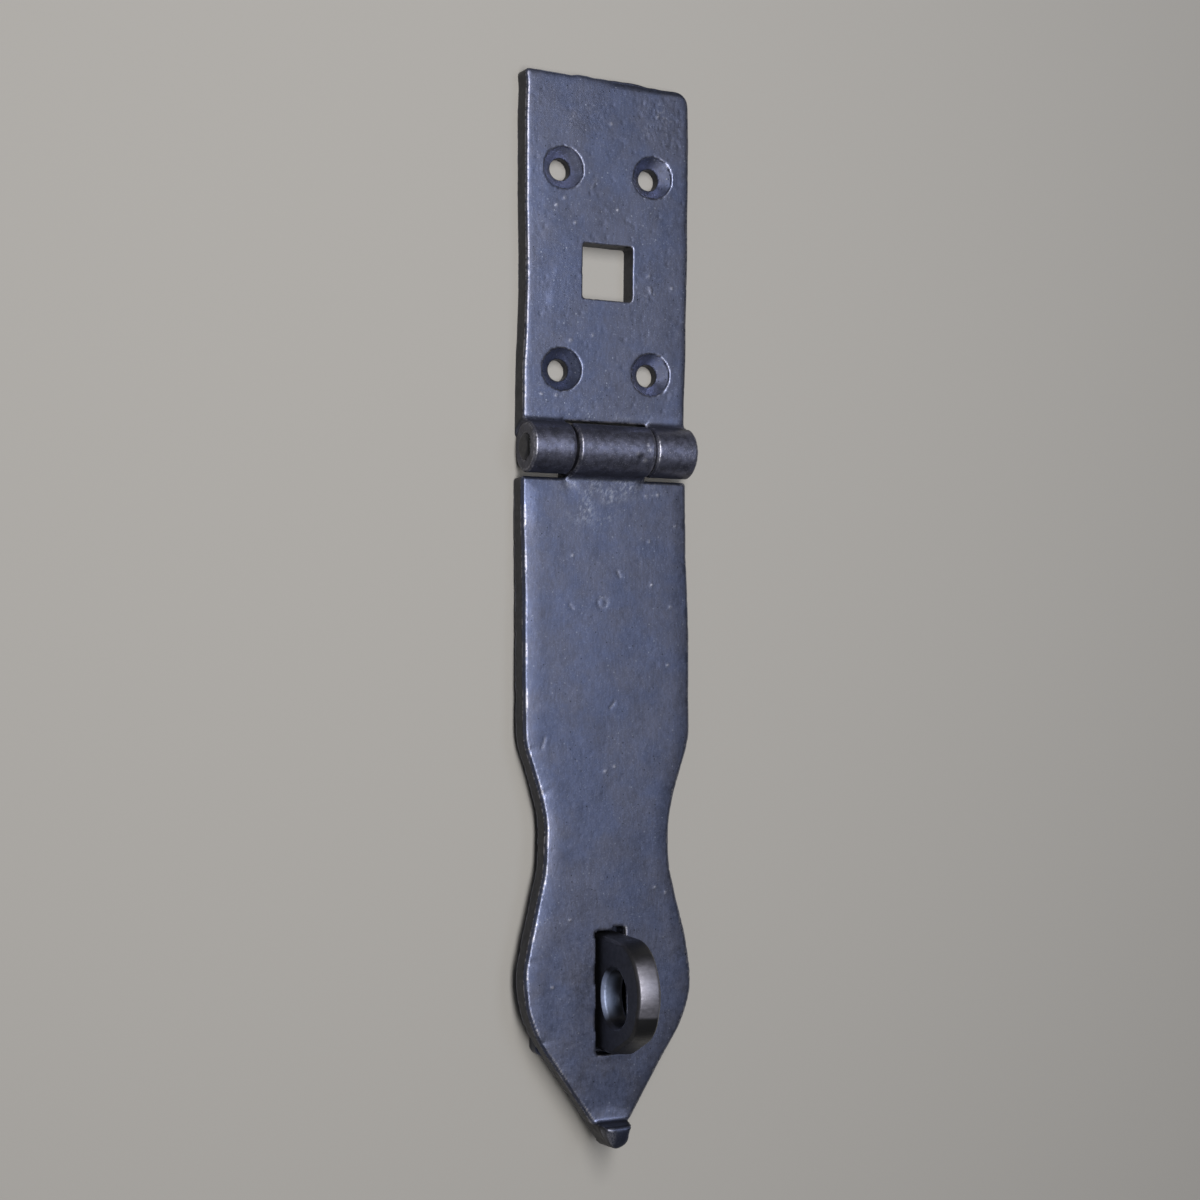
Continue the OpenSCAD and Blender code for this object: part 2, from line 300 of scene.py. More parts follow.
def noise(co, size, seed):
    """Smooth noise from -1 to 1 with features of that size, in the unit of the places."""
    period = 32
    grid = np.random.default_rng(seed).uniform(-1, 1, (period,) * 3)
    q = co / size + 100
    cell = np.floor(q).astype(int)
    f = q - cell
    f = f * f * (3 - 2 * f)
    total = np.zeros(len(co))
    for corner in itertools.product((0, 1), repeat=3):
        weight = np.prod(np.where(corner, f, 1 - f), axis=1)
        total += weight * grid[tuple(((cell + corner) % period).T)]
    return total


def layered(q, layers, seed, step=1):
    """The sum of noises, given as pairs of depth and size."""
    return sum(depth * noise(q, size, seed + i * step) for i, (depth, size) in enumerate(layers))


# From here on, places are in millimetres: across the plate, away from the hinge axis, and up.

def dots(q, places, radius=0.4):
    """From 0 to 1, how near each place is to one of the dots."""
    out = np.zeros(len(q))
    for across, away in places:
        square = (q[:, 0] - across) ** 2 + (q[:, 1] - away) ** 2
        out = np.maximum(out, np.exp(-2 * square / radius ** 2))
    return out


def stroke(q, points, width=0.45):
    """From 0 to 1, how near each place is to a line through the points."""
    p = q[:, :2]
    out = np.zeros(len(q))
    for a, b in zip(np.array(points[:-1], float), np.array(points[1:], float)):
        t = np.clip((p - a) @ (b - a) / ((b - a) @ (b - a)), 0, 1)
        d = np.linalg.norm(p - a - t[:, None] * (b - a), axis=1)
        out = np.maximum(out, np.exp(-2 * (d / width) ** 2))
    return out


def patch(q, across, away, half_across, half_away):
    """From 0 to 1, how far each place lies inside a soft oval."""
    d = np.hypot((q[:, 0] - across) / half_across, (q[:, 1] - away) / half_away)
    return 1 - smoothstep(0.3, 1, d)


def patches(q, ovals):
    """The sum of soft ovals, each given with its amount first."""
    return sum(amount * patch(q, *oval) for amount, *oval in ovals)


def pitted(q, low, high, per_cm2, seed, radius, depth, narrow=(0.6, 1.6)):
    """How deep the random pits of a top face are at each place between two corners."""
    rng = np.random.default_rng(seed)
    low, high = np.array(low), np.array(high)
    count = int(np.prod(high - low) / 100 * per_cm2)
    out = np.zeros(len(q))
    for place in rng.uniform(low, high, (count, 2)):
        r = rng.uniform(*radius)
        stretch = rng.uniform(*narrow)
        d = np.hypot((q[:, 0] - place[0]) * stretch, q[:, 1] - place[1]) / r
        near = d < 1
        out[near] = np.maximum(out[near], rng.uniform(*depth) * (1 - d[near] ** 2) ** 2)
    return out


# Pieces made from the solids

def cad_solid(node):
    """The node's own mesh, welded, in metres."""
    solid = bmesh.new()
    solid.from_mesh(frame["nodes"][node].data)
    bmesh.ops.remove_doubles(solid, verts=solid.verts, dist=WELD)
    solid.normal_update()
    return solid


def sharp_places(solid, spacing):
    """A tree of places close together along the solid's sharp edges."""
    places = []
    for edge in solid.edges:
        if edge.calc_face_angle(0) > SHARP_ANGLE:
            a, b = (v.co for v in edge.verts)
            steps = math.ceil(edge.calc_length() / spacing)
            places += [a.lerp(b, i / steps) for i in range(steps + 1)]
    tree = KDTree(len(places))
    for i, place in enumerate(places):
        tree.insert(place, i)
    tree.balance()
    return tree


def remeshed(node, solid, quad):
    """A new piece with the solid's shape in even quads, and which vertices lie on sharp edges."""
    surface = BVHTree.FromBMesh(solid)
    edges = sharp_places(solid, quad / 5)
    mesh = bpy.data.meshes.new(node + "_solid")
    solid.to_mesh(mesh)
    carrier = bpy.data.objects.new(node + "_solid", mesh)
    bpy.context.scene.collection.objects.link(carrier)
    modifier = carrier.modifiers.new("quads", "REMESH")
    modifier.mode = "VOXEL"
    modifier.voxel_size = quad
    seen = carrier.evaluated_get(bpy.context.evaluated_depsgraph_get())
    made = bpy.data.meshes.new_from_object(seen)
    made.name = node + "_iron"
    made.materials.clear()
    bpy.data.objects.remove(carrier)
    bpy.data.meshes.remove(mesh)
    co = np.array([surface.find_nearest(Vector(p))[0] for p in vertex_values(made, "co")])
    nearest = [edges.find(p) for p in co]
    sharp = np.array([n[2] for n in nearest]) < 0.5 * quad
    put_places(made, np.where(sharp[:, None], np.array([n[0] for n in nearest]), co))
    piece = bpy.data.objects.new(node + "_iron", made)
    bpy.context.scene.collection.objects.link(piece)
    made.shade_smooth()
    return piece, sharp


def rims(mesh, ends, quad):
    """From 0 to 1, how much each vertex stands out as part of a rim."""
    co = vertex_values(mesh, "co")
    out = ((co - neighbour_mean(co, ends)) * vertex_values(mesh, "normal")).sum(1) / quad
    return smoothstep(0.07, 0.2, relaxed(out, ends, 1, 0.3))


def steepness(up):
    """1 on walls and 0 on faces that look up or down."""
    return 1 - smoothstep(0.25, 0.7, np.abs(up))


def finish_piece(piece, node, body, material):
    piece.data.materials.append(material)
    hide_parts(node)
    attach(piece, body)


class Plate:
    """A flat plate's own frame: across, away from the hinge axis and up from its back."""

    def __init__(self, node, solid):
        face = max((f for f in solid.faces if f.normal.z > 0.9), key=lambda f: f.calc_area())
        top = face.normal.copy()
        across = Vector((1, 0, 0))
        away = top.cross(across)
        low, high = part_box(node)
        if away.dot((Vector(low) + Vector(high)) / 2 - AXIS) < 0:
            away = -away
        self.axes = np.array([across, away, top])
        self.origin = np.array(AXIS - top * AXIS.z)
        self.thick = self.flat(np.array([face.calc_center_median()]))[0, 2]
        self.corners = self.flat(np.array([v.co for v in solid.verts]))
        self.end = self.corners[:, 1].max()
        self.half = self.corners[self.corners[:, 1] > AXIS_UP * 2, 0].max()
        self.raised = self.first(self.corners[:, 2] > 1.1 * self.thick)
        self.slot = self.first(np.abs(self.corners[:, 0]) < self.half / 3)

    def flat(self, co):
        return (co - self.origin) @ self.axes.T / MM

    def world(self, q):
        return q * MM @ self.axes + self.origin

    def first(self, chosen):
        """How far away the chosen corners of the far half of the plate start, or the plate's end."""
        far = self.corners[chosen & (self.corners[:, 1] > self.end / 2), 1]
        return far.min() if len(far) else self.end


def outer_distance(solid, plate, co):
    """How far each place is from the outer walls of the plate, seen from above, in millimetres."""
    whole = BVHTree.FromBMesh(solid)
    top = Vector(plate.axes[2])
    clear = 0.05 * MM
    walls = []
    for face in solid.faces:
        n, middle = face.normal, face.calc_center_median()
        if abs(n.dot(top)) < 0.3 and whole.ray_cast(middle + n * clear, n)[0] is None:
            walls.append([v.co.copy() for v in face.verts])
    corners = [c for wall in walls for c in wall]
    starts = np.cumsum([0] + [len(w) for w in walls])
    tree = BVHTree.FromPolygons(corners, [tuple(range(a, b)) for a, b in zip(starts, starts[1:])])
    return np.array([tree.find_nearest(Vector(p))[3] for p in co]) / MM


# What the leaf and the strap have in common

# The waves of their outlines, the rolls of their tops and the chips in their rims,
# as pairs of depth and size, and how deep a chip is.
WAVES = ((0.10, 11), (0.06, 3.1))
ROLLS = ((0.06, 13), (0.03, 4.5), (0.010, 1.5))
CHIPS = ((1, 1.7), (0.5, 0.8))
CHIP_DEPTH = 0.10
# Between what distances from the hinge's barrel it passes into the plate, and between what
# angles from its crest, in degrees, it gets steep.
BARREL_FADE = (0.2, 0.7)
STEEP_ANGLES = (18, 42)
# Between what distances from its outline a side's move fades out, and between what distances
# from the plate's middle line it fades in.
SIDE_REACH = (0, 7)
SIDE_START = (2, 8)
# How bright the rims of the screw holes are beside the outer ones, and how much brighter those
# near the middle line, which are the square hole's and the slot's.
HOLE_SHINE, MIDDLE_SHINE, MIDDLE_HALF = 0.42, 0.13, 7


def barrel_share(q):
    """1 on the hinge barrel and 0 on the plate."""
    d = np.hypot(q[:, 1], q[:, 2] - AXIS_UP)
    return 1 - smoothstep(AXIS_UP + BARREL_FADE[0], AXIS_UP + BARREL_FADE[1], d)


def steep(q):
    """1 on the barrel's parts that are steep, and 0 on its crest and on the plate."""
    angle = np.degrees(np.abs(np.arctan2(q[:, 1], q[:, 2] - AXIS_UP)))
    return barrel_share(q) * smoothstep(*STEEP_ANGLES, angle)


def top_share(q, normals):
    """1 on the plate's top and 0 on its walls, its slopes and the barrel."""
    return smoothstep(0.75, 0.95, normals[:, 2]) * (1 - barrel_share(q))


def shaded_rim(q, distance):
    """How much painted shade darkens the tone along the right side's edge."""
    return 0.12 * smoothstep(0, 4, q[:, 0]) * (1 - smoothstep(0.2, 1.5, distance))


def shifted(q, distance, left, right):
    """Moves each side's outline across by millimetres given as pairs with how far away they hold."""
    reach = (1 - smoothstep(*SIDE_REACH, distance)) * smoothstep(*SIDE_START, np.abs(q[:, 0]))
    reach *= 1 - barrel_share(q)
    out = q.copy()
    for pairs, side in ((left, q[:, 0] < 0), (right, q[:, 0] > 0)):
        away, shift = np.array(pairs).T
        out[:, 0] += side * reach * np.interp(q[:, 1], away, shift)
    return out


def waved(q, seed):
    """Moves the outline of a plate about a little, as hand work does, but leaves the hinge alone."""
    free = smoothstep(AXIS_UP + 2, AXIS_UP + 7, q[:, 1])
    out = q.copy()
    for axis in (0, 1):
        out[:, axis] += free * layered(q, WAVES, seed + axis, step=2)
    return out


def worn(q, distance, thick, crown, crown_reach, seed):
    """The heights of a plate whose top rolls gently and falls away towards its rim."""
    level = np.clip(q[:, 2] / thick, 0, 1) ** 2 * (1 - barrel_share(q))
    fall = crown * np.clip(1 - distance / crown_reach, 0, 1) ** 2
    return q[:, 2] + level * (layered(q, ROLLS, seed) - fall)


def chipped(mesh, rim, seed):
    """Takes small chips out of the rims."""
    co = vertex_values(mesh, "co")
    bite = CHIP_DEPTH * rim * smoothstep(0.25, 0.75, layered(co / MM, CHIPS, seed))
    put_places(mesh, co - vertex_values(mesh, "normal") * (bite * MM)[:, None])


def rim_shine(q, rim, distance, thick, seed):
    """How bright the rims are: less around the slot and the holes, uneven along their length, and dimmed as
    painted shade on the barrel's steep flanks.
    """
    lively = smoothstep(-0.6, 0.3, noise(q, 7, seed)) * (1 - 0.8 * steep(q))
    inner = HOLE_SHINE + MIDDLE_SHINE * (np.abs(q[:, 0]) < MIDDLE_HALF)
    upper = smoothstep(0.35, 0.7, q[:, 2] / thick)
    return rim * np.where(distance > 3, inner, 1) * upper * (0.45 + 0.55 * lively)


def make_plate(node, body, quad, material, shape):
    """A flat piece: the node's shape with a worn, waved and marked surface."""
    solid = cad_solid(node)
    plate = Plate(node, solid)
    piece, sharp = remeshed(node, solid, quad)
    mesh = piece.data
    ends = edge_ends(mesh)
    give = np.where(sharp, PLATE_EDGE_GIVE, GIVE)[:, None]
    co = relaxed(vertex_values(mesh, "co"), ends, 1, give)
    q = plate.flat(co)
    nose = smoothstep(-1.5, 0, q[:, 1] - plate.raised) * smoothstep(-1, 0.5, q[:, 2] - plate.thick)
    co = relaxed(co, ends, 8, GIVE * nose[:, None])
    put_places(mesh, co)
    rim = rims(mesh, ends, quad)
    q = plate.flat(co)
    distance = outer_distance(solid, plate, co)
    solid.free()
    q, marks = shape(q, vertex_values(mesh, "normal") @ plate.axes.T, distance, plate)
    put_places(mesh, plate.world(q))
    seed = len(node)
    chipped(mesh, rim, seed)
    up = vertex_values(mesh, "normal") @ plate.axes[2]
    marks["barrel"] = barrel_share(q)
    marks["rim"] = rim_shine(q, rim, distance, plate.thick, seed + 5)
    marks["side"] = steepness(up) * (1 - 0.85 * np.clip(marks["bright"], 0, 1))
    for name, values in marks.items():
        store(mesh, name, values)
    finish_piece(piece, node, body, material)


# The leaf

# Its bright dots, its crescent and its hooked mark, as places across and away.
LEAF_DOTS = [(-10.9, 56.5), (-13, 54.7), (-8.3, 51.1), (2.2, 55), (-9.2, 24.5), (-3.7, 26),
             (-16.2, 12), (-12.6, 11.9), (16.2, 38.2), (0.5, 74.5), (12.3, 77.5)]
LEAF_CRESCENT = [(-3, 61), (-3.9, 59.6), (-3.8, 57.6)]
LEAF_HOOK = [(10.6, 40.8), (9.6, 39.6), (9.9, 38.4), (10.8, 37.9), (11.0, 36.8)]
# How far its left and its right side are moved across, as pairs of how far away and how far across.
LEAF_LEFT = [(6, -0.55), (18, -0.5), (27, -0.1), (36, 0.05), (45, 0), (54, -0.4), (73, -0.5),
             (84, -0.3)]
LEAF_RIGHT = [(8, -0.1), (22, 0.17), (36, 0.4), (73, 0.47), (82, 0.2)]
# How far each of its far corners, left and right, is pulled out or rounded off, and how wide.
LEAF_CORNERS = ((-1, 0.35), (1, -0.6))
LEAF_CORNER_WIDTH = 1.8
# Its pitted and its pale patches, as an amount, a middle and half the size across and away.
LEAF_PITTED = [(0.6, 13, 76, 8, 8), (0.4, -6, 76, 9, 8), (0.4, 10, 38, 6, 8)]
LEAF_PALE = [(0.11, -14.1, 39.3, 2, 3.5), (0.12, -14.6, 33.6, 1.6, 3)]
LEAF_PALE_SIDE = [(0.06, -17, 60, 3, 20)]
# How high its dots, its crescent and its hooked mark stand, and how far its right end bends down.
DOT_HEIGHT = 0.08
CRESCENT_HEIGHT = 0.08
HOOK_HEIGHT = 0.10
END_DROP = 0.25


def cones(q, normals, plate):
    """1 on the countersinks' slopes, and how far each looks to the left."""
    up = normals[:, 2]
    slope = smoothstep(0.4, 0.55, up) * (1 - smoothstep(0.85, 0.95, up))
    slope *= q[:, 2] > 0.4 * plate.thick
    slope *= (1 - barrel_share(q)) * (np.abs(q[:, 0]) < 0.85 * plate.half)
    left = smoothstep(-0.2, 0.5, -normals[:, 0])
    return slope, slope * left * (1 - 0.6 * smoothstep(0.1, 0.5, normals[:, 1]))


def ragged_far_edge(q, plate):
    """Makes the leaf's far edge ragged, shapes its corners, and tells where that edge is."""
    far = smoothstep(plate.end - 3, plate.end - 0.5, q[:, 1])
    longer = 0.65 * (1 - smoothstep(5, 11.5, q[:, 0]))
    q[:, 1] += far * (longer + 0.18 * noise(q * (1, 0.2, 0.5), 1.9, seed=17))
    for side, pull in LEAF_CORNERS:
        corner = np.hypot(q[:, 0] - side * plate.half, q[:, 1] - plate.end)
        near = pull * bell(corner, 0, LEAF_CORNER_WIDTH)
        q[:, 0] += side * near
        q[:, 1] += near
    return far


def leaf_bevel_glints(q, barrel):
    """Painted highlights on the bevels at the left knuckle's outer end and at the right one's inner end."""
    across = q[barrel > 0.5, 0]
    gap, end = across[across > 0].min(), across.min()
    return barrel * np.maximum(bell(q[:, 0] - gap, 0.35, 0.4), 0.8 * bell(q[:, 0] - end, 0.25, 0.25))


def leaf_tone(q, distance, plate, top, slope, left_slope, right_end):
    """Half where the colour stays as it is, more where it is paler and less where it is darker."""
    pale = patches(q, LEAF_PALE) * smoothstep(-0.9, 0.2, noise(q, 1.2, seed=64))
    pale = pale + patches(q, LEAF_PALE_SIDE)
    # Painted shade at the far end's right corner.
    painted_end_shade = 0.12 * right_end * smoothstep(plate.end - 2, plate.end, q[:, 1])
    tone = 0.5 + top * (pale - painted_end_shade - shaded_rim(q, distance))
    # Painted light on the countersinks' slopes that look to the left.
    upper_left = smoothstep(2, -2, q[:, 0]) * smoothstep(0.4, 0.6, q[:, 1] / plate.end)
    tone += left_slope * (0.28 + 0.34 * smoothstep(-2, 2, q[:, 0]) - 0.15 * upper_left)
    near_barrel = smoothstep(AXIS_UP + 4, AXIS_UP + 1, q[:, 1])
    tone += 0.09 * top * near_barrel * smoothstep(-6, 12, q[:, 0])
    # Painted shade on the other slopes, turning to painted light in the upper left, and on the barrel's steep
    # flanks.
    return tone - (slope * (0.14 - 0.3 * upper_left) + 0.14 * steep(q))


def leaf_shape(q, normals, distance, plate):
    """The leaf's wavy left side, its ragged far edge, and the dents and bright marks of its top."""
    barrel, top = barrel_share(q), top_share(q, normals)
    slope, left_slope = cones(q, normals, plate)
    q = shifted(waved(q, 11), distance, LEAF_LEFT, LEAF_RIGHT)
    right_end = ragged_far_edge(q, plate) * smoothstep(-3, 3, q[:, 0])
    q[:, 2] = worn(q, distance, plate.thick, crown=0.16, crown_reach=1.8, seed=21)
    q[:, 2] -= top * END_DROP * right_end * smoothstep(plate.end - 1.4, plate.end, q[:, 1])
    cluster = patches(q, LEAF_PITTED)
    rough = pitted(q, (7, 0.84 * plate.end), (18.5, plate.end - 2), per_cm2=38, seed=41,
                   radius=(0.4, 0.8), depth=(0.04, 0.09), narrow=(1.2, 2.2))
    dents = pitted(q, (-19, AXIS_UP + 2), (19, plate.end - 1), per_cm2=10, seed=31,
                   radius=(0.35, 0.8), depth=(0.02, 0.07))
    crescent, hook = stroke(q, LEAF_CRESCENT), stroke(q, LEAF_HOOK)
    dot = dots(q, LEAF_DOTS)
    broken = smoothstep(-0.2, 0.3, noise(q, 0.9, seed=61))
    strokes = broken * (CRESCENT_HEIGHT * crescent + HOOK_HEIGHT * hook)
    q[:, 2] -= top * (np.maximum(rough, dents) - strokes - DOT_HEIGHT * dot)
    bright = top * np.maximum(dot, 0.3 * broken * np.maximum(crescent, hook))
    flecks = smoothstep(0.3, 0.6, noise(q, 0.6, seed=65))
    flecks *= smoothstep(-0.3, 0.4, noise(q, 2.5, seed=66))
    bright = np.maximum(bright, 0.22 * top * flecks * smoothstep(0.1, 0.5, cluster))
    # Painted highlights on the knuckle bevels, kept to the barrel's lit crest.
    bright += 0.8 * leaf_bevel_glints(q, barrel) * (1 - steep(q))
    scuff = 0.35 * top * patch(q, 3, AXIS_UP + 3, 19, 4)
    scuff *= smoothstep(-0.6, 0.6, noise(q, 2.6, seed=63))
    tone = leaf_tone(q, distance, plate, top, slope, left_slope, right_end)
    return q, {"bright": bright, "tone": tone, "rough": top * cluster, "scuff": scuff}


# The strap

# Its bright dots, its scratches and the ring struck into it, as places across and away.
STRAP_DOTS = [(13, 9.6), (10.1, 10), (17.4, 16.6), (10.7, 20.3), (11.2, 30.3), (16, 35.3),
              (15.2, 48.5), (-14, 119.8), (11.5, 99), (14.2, 100.2), (-0.8, 72.5), (1.5, 71.4),
              (-8.5, 23.9), (-9.7, 105.2)]
STRAP_SCRATCHES = [[(2.6, 27.2), (3.4, 28.6)], [(0.6, 58.3), (1.8, 56.9)],
                   [(-15.5, 64.8), (-16.1, 66.9)], [(-9.3, 35.0), (-8.5, 35.9)]]
STRAP_RING = (-1.1, 34.5)
STRAP_RING_RADIUS = 1.1
# How far its left and its right side are moved across, as pairs of how far away and how far across.
STRAP_LEFT = [(6, -0.6), (14, -0.75), (23, -0.63), (33, -0.38), (50, -0.52), (75, -0.27),
              (82, -0.39), (89, -0.73), (95, -0.52), (109, -0.7), (116, -0.64), (122, -0.3),
              (136, -0.54), (150, 0)]
STRAP_RIGHT = [(23, 0), (32, 0.32), (41, 0.5), (68, 0.39), (75, 0.12), (82, 0.07), (89, 0.2),
               (95, -0.24), (102, -0.17), (109, 0.27), (116, -0.05), (122, 0.17), (129, -0.07),
               (136, -0.24), (150, 0)]
# Its scuffs and its pale left side, as a middle and half the size across and away.
SCUFF = (-3.5, 11.3, 10, 9)
SCUFF_BAND = (0, 7.5, 20, 5.5)
STRAP_PALE = (-18.8, 13.5, 2.2, 8)
# The pit in its knuckle and the painted glints beside it.
KNUCKLE_PIT = (5.9, 1.9)
KNUCKLE_GLINTS = [(4.9, 1.1), (6.9, 2.6), (7.5, -0.9), (7.9, 0.2)]
KNUCKLE_PIT_DEPTH = 0.2
# The slot's right wall, where a glint is painted, how far its lip sticks out, and how far away the waist is, where
# a highlight is painted.
SLOT_SIDE = 3.9
LIP = 0.85
WAIST_AWAY = 85
# How deep the ring and the scratches are, and how high the foot of the nose is filled.
RING_DEPTH = 0.06
SCRATCH_DEPTH = 0.10
FILLET = 0.4
# How far the nose bulges at the right and the left, and how far it is drawn in at its foot.
NOSE_BULGE, NOSE_LEFT_BULGE, NOSE_FOOT = 1.05, 0.45, 0.1


def ragged_slot(q, plate):
    """Leaves a rough lip on the left of the slot's end nearer the hinge, and a tooth beside it."""
    near = smoothstep(plate.slot - 2.2, plate.slot - 0.1, q[:, 1]) * (q[:, 1] < plate.slot + 0.6)
    lip = LIP * (1 - smoothstep(0.6, 1.0, q[:, 0])) + 0.10 * noise(q * (1, 0, 0.6), 0.9, seed=19)
    inner = 1 - smoothstep(plate.half * 0.155, plate.half * 0.185, np.abs(q[:, 0]))
    q[:, 1] += near * inner * np.clip(lip, 0, LIP)


def bulged_nose(q, plate):
    """Lets the sides of the nose bulge, and draws the right one in at its foot."""
    past = q[:, 1] - plate.raised
    bulge = smoothstep(0.3, 2.5, q[:, 0]) * bell(past, 4.2, 1.8)
    foot = smoothstep(2.2, 3.4, q[:, 0]) * bell(past, 0.6, 1.1) * (past > -1)
    left_bulge = smoothstep(-0.8, -2.6, q[:, 0]) * bell(past, 2.2, 2.2)
    stands = smoothstep(0.8, 1.4, q[:, 2] / plate.thick)
    q[:, 0] += (NOSE_BULGE * bulge - NOSE_FOOT * foot - NOSE_LEFT_BULGE * left_bulge) * stands


def nose_fillet(q, plate):
    """How much the strap's top rises towards the foot of the nose."""
    near = np.clip((q[:, 1] - plate.raised + 2) / 2, 0, 1)
    upper = np.clip(q[:, 2] / plate.thick, 0, 1)
    return FILLET * near ** 2 * upper ** 2 * (1 - smoothstep(0.3, 1.5, q[:, 2] - plate.thick))


def nose_glints(q, normals, plate):
    """Painted highlights on the nose's corner and ridge and on its paler left facet, and that facet alone."""
    raised, thick = plate.raised, plate.thick
    corner = (q[:, 2] > 0.6 * thick) * dots(q, [(-4.7, raised - 0.2)], 0.8)
    ridge = (q[:, 2] > 1.3 * thick) * stroke(q, [(-3.3, raised + 0.9), (-2.0, raised + 5)], 0.6)
    facet = (q[:, 2] > 1.2 * thick) * patch(q, -2.0, raised + 2.8, 1.8, 3.8)
    facet *= smoothstep(0.15, 0.35, normals[:, 2])
    return np.maximum(corner, np.maximum(0.5 * ridge, 0.55 * facet)), facet


def strap_tone(q, normals, distance, plate, top, pit, facet):
    """Half where the colour stays as it is, more where it is paler and less where it is darker."""
    # Painted highlight in a band at the nose's foot.
    foot = patch(q, 0.3, plate.raised - 1.6, 7, 3.2) * smoothstep(0.5, 0.8, normals[:, 2])
    # Painted highlight along the left edge at the waist.
    waist = smoothstep(3, 0.8, distance) * smoothstep(-4, -8, q[:, 0]) * bell(q[:, 1], WAIST_AWAY, 8)
    pale = 0.10 * patch(q, *STRAP_PALE)
    tone = 0.5 + top * (pale - shaded_rim(q, distance)) + 0.3 * foot - 0.35 * pit
    # Painted highlight on the nose's left facet, and painted shade on the barrel's steep flanks.
    tone += 0.16 * top * waist + 0.1 * facet - steep(q) * np.where(q[:, 1] < 0, 0.14, 0.05)
    # Painted shade on the nose past its foot and towards the tip.
    past = smoothstep(-0.3, 0.3, q[:, 1] - plate.raised)
    return tone - (0.13 * past + 0.06 * smoothstep(0.8 * plate.end, plate.end, q[:, 1]))


def strap_shape(q, normals, distance, plate):
    """The strap's crowned top with its ragged slot, its dents, scuff and bright marks."""
    top = top_share(q, normals) * (q[:, 1] < plate.raised - 0.5)
    q = shifted(waved(q, 12), distance, STRAP_LEFT, STRAP_RIGHT)
    ragged_slot(q, plate)
    bulged_nose(q, plate)
    q[:, 2] = worn(q, distance, plate.thick, crown=0.30, crown_reach=4.2, seed=22)
    q[:, 2] += nose_fillet(q, plate)
    dents = pitted(q, (-20, AXIS_UP + 2), (20, plate.raised), per_cm2=3, seed=32,
                   radius=(0.35, 0.7), depth=(0.015, 0.045))
    from_ring = np.hypot(q[:, 0] - STRAP_RING[0], q[:, 1] - STRAP_RING[1])
    ring = bell(from_ring, STRAP_RING_RADIUS, 0.3)
    scratch = np.max([stroke(q, points, 0.35) for points in STRAP_SCRATCHES], axis=0)
    dot = dots(q, STRAP_DOTS)
    q[:, 2] -= top * (dents + RING_DEPTH * ring + SCRATCH_DEPTH * scratch - DOT_HEIGHT * dot)
    outside = q[:, 2] > AXIS_UP + 3.5
    pit = outside * dots(q, [KNUCKLE_PIT], 1.2)
    glints = outside * dots(q, KNUCKLE_GLINTS, 0.5)
    q[:, 2] -= KNUCKLE_PIT_DEPTH * pit
    scuff = np.maximum(0.85 * patch(q, *SCUFF), 0.8 * patch(q, *SCUFF_BAND))
    scuff *= top * smoothstep(-0.8, 0.5, noise(q, 2.6, seed=62))
    barrel = barrel_share(q)
    # Painted highlights: the knuckle's left end, the nose, the knuckle glints and the slot's right wall.
    bevel = barrel * bell(q[:, 0] - q[barrel > 0.5, 0].min(), 0.3, 0.3)
    nose, facet = nose_glints(q, normals, plate)
    slot_glint = stroke(q, [(SLOT_SIDE, plate.slot + 0.3), (SLOT_SIDE, plate.slot + 2)], 0.5)
    slot_glint *= q[:, 2] > 0.7 * plate.thick
    struck = top * np.max([dot, 0.35 * scratch, 0.2 * ring], axis=0)
    bright = np.max([struck, 0.4 * bevel * (1 - steep(q)), nose, glints, slot_glint], axis=0)
    tone = strap_tone(q, normals, distance, plate, top, pit, facet)
    return q, {"bright": bright, "tone": tone, "rough": np.zeros(len(q)), "scuff": scuff}


# The staple and the pin

# How strongly the eye's rim falls away on both sides of its crest, and where that is.
EYE_CROWN = 0.027
EYE_CREST = 2.0
# The ground part of the rim starts and ends between these angles from straight up, in degrees.
GROUND_START = (-13, -9)
GROUND_END = (32, 55)


def make_casting(node, body, quad, material, shape=None):
    """A small piece: the node's shape with a slightly rough surface."""
    solid = cad_solid(node)
    piece, sharp = remeshed(node, solid, quad)
    solid.free()
    mesh = piece.data
    ends = edge_ends(mesh)
    give = np.where(sharp, SMALL_EDGE_GIVE, GIVE)[:, None]
    put_places(mesh, relaxed(vertex_values(mesh, "co"), ends, 3, give))
    rim = rims(mesh, ends, quad)
    marks = shape(mesh) if shape else {}
    marks["rim"] = rim
    marks["side"] = steepness(vertex_values(mesh, "normal")[:, 2])
    for name, values in marks.items():
        store(mesh, name, values)
    finish_piece(piece, node, body, material)


